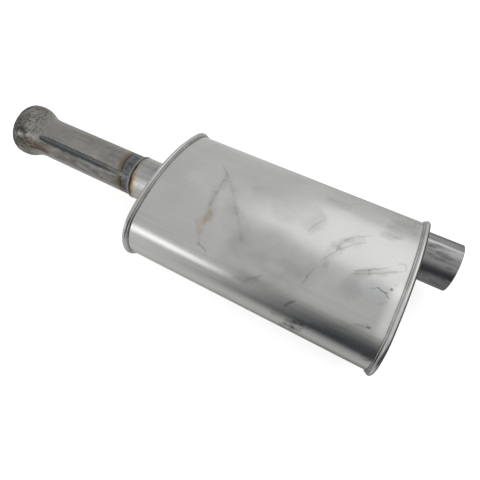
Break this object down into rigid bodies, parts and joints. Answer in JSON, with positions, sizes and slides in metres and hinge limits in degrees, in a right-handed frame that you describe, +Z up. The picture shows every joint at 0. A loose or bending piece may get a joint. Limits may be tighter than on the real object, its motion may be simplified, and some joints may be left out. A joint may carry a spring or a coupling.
{
  "type": "muffler",
  "caption": "Oval three-pass exhaust muffler with rolled end rims, a flared inlet pipe in the centre and an offset outlet tube.",
  "frame": {"origin": "centre of the flared inlet mouth, in the plane of its edge", "axes": "+X along the body from the inlet to the outlet, +Y towards the side that the outlet stands on, +Z up, across the body's short width"},
  "size_m": [0.65, 0.2184, 0.1204],
  "materials": {
    "aluminised_sheet": "satin",
    "tube_steel": "worn satin",
    "raw_pipe": "mill scale",
    "weld_bead": "dull",
    "inner_steel": "dull"
  },
  "bodies": {
    "root": {"shell": "aluminised_sheet", "inlet_head": "aluminised_sheet", "outlet_head": "aluminised_sheet", "inlet_pipe": "raw_pipe", "pipe_welds": "weld_bead", "front_baffle": "inner_steel", "rear_baffle": "inner_steel", "inlet_tube": "tube_steel", "return_tube": "inner_steel", "outlet_tube": "tube_steel"}
  },
  "joints": []
}
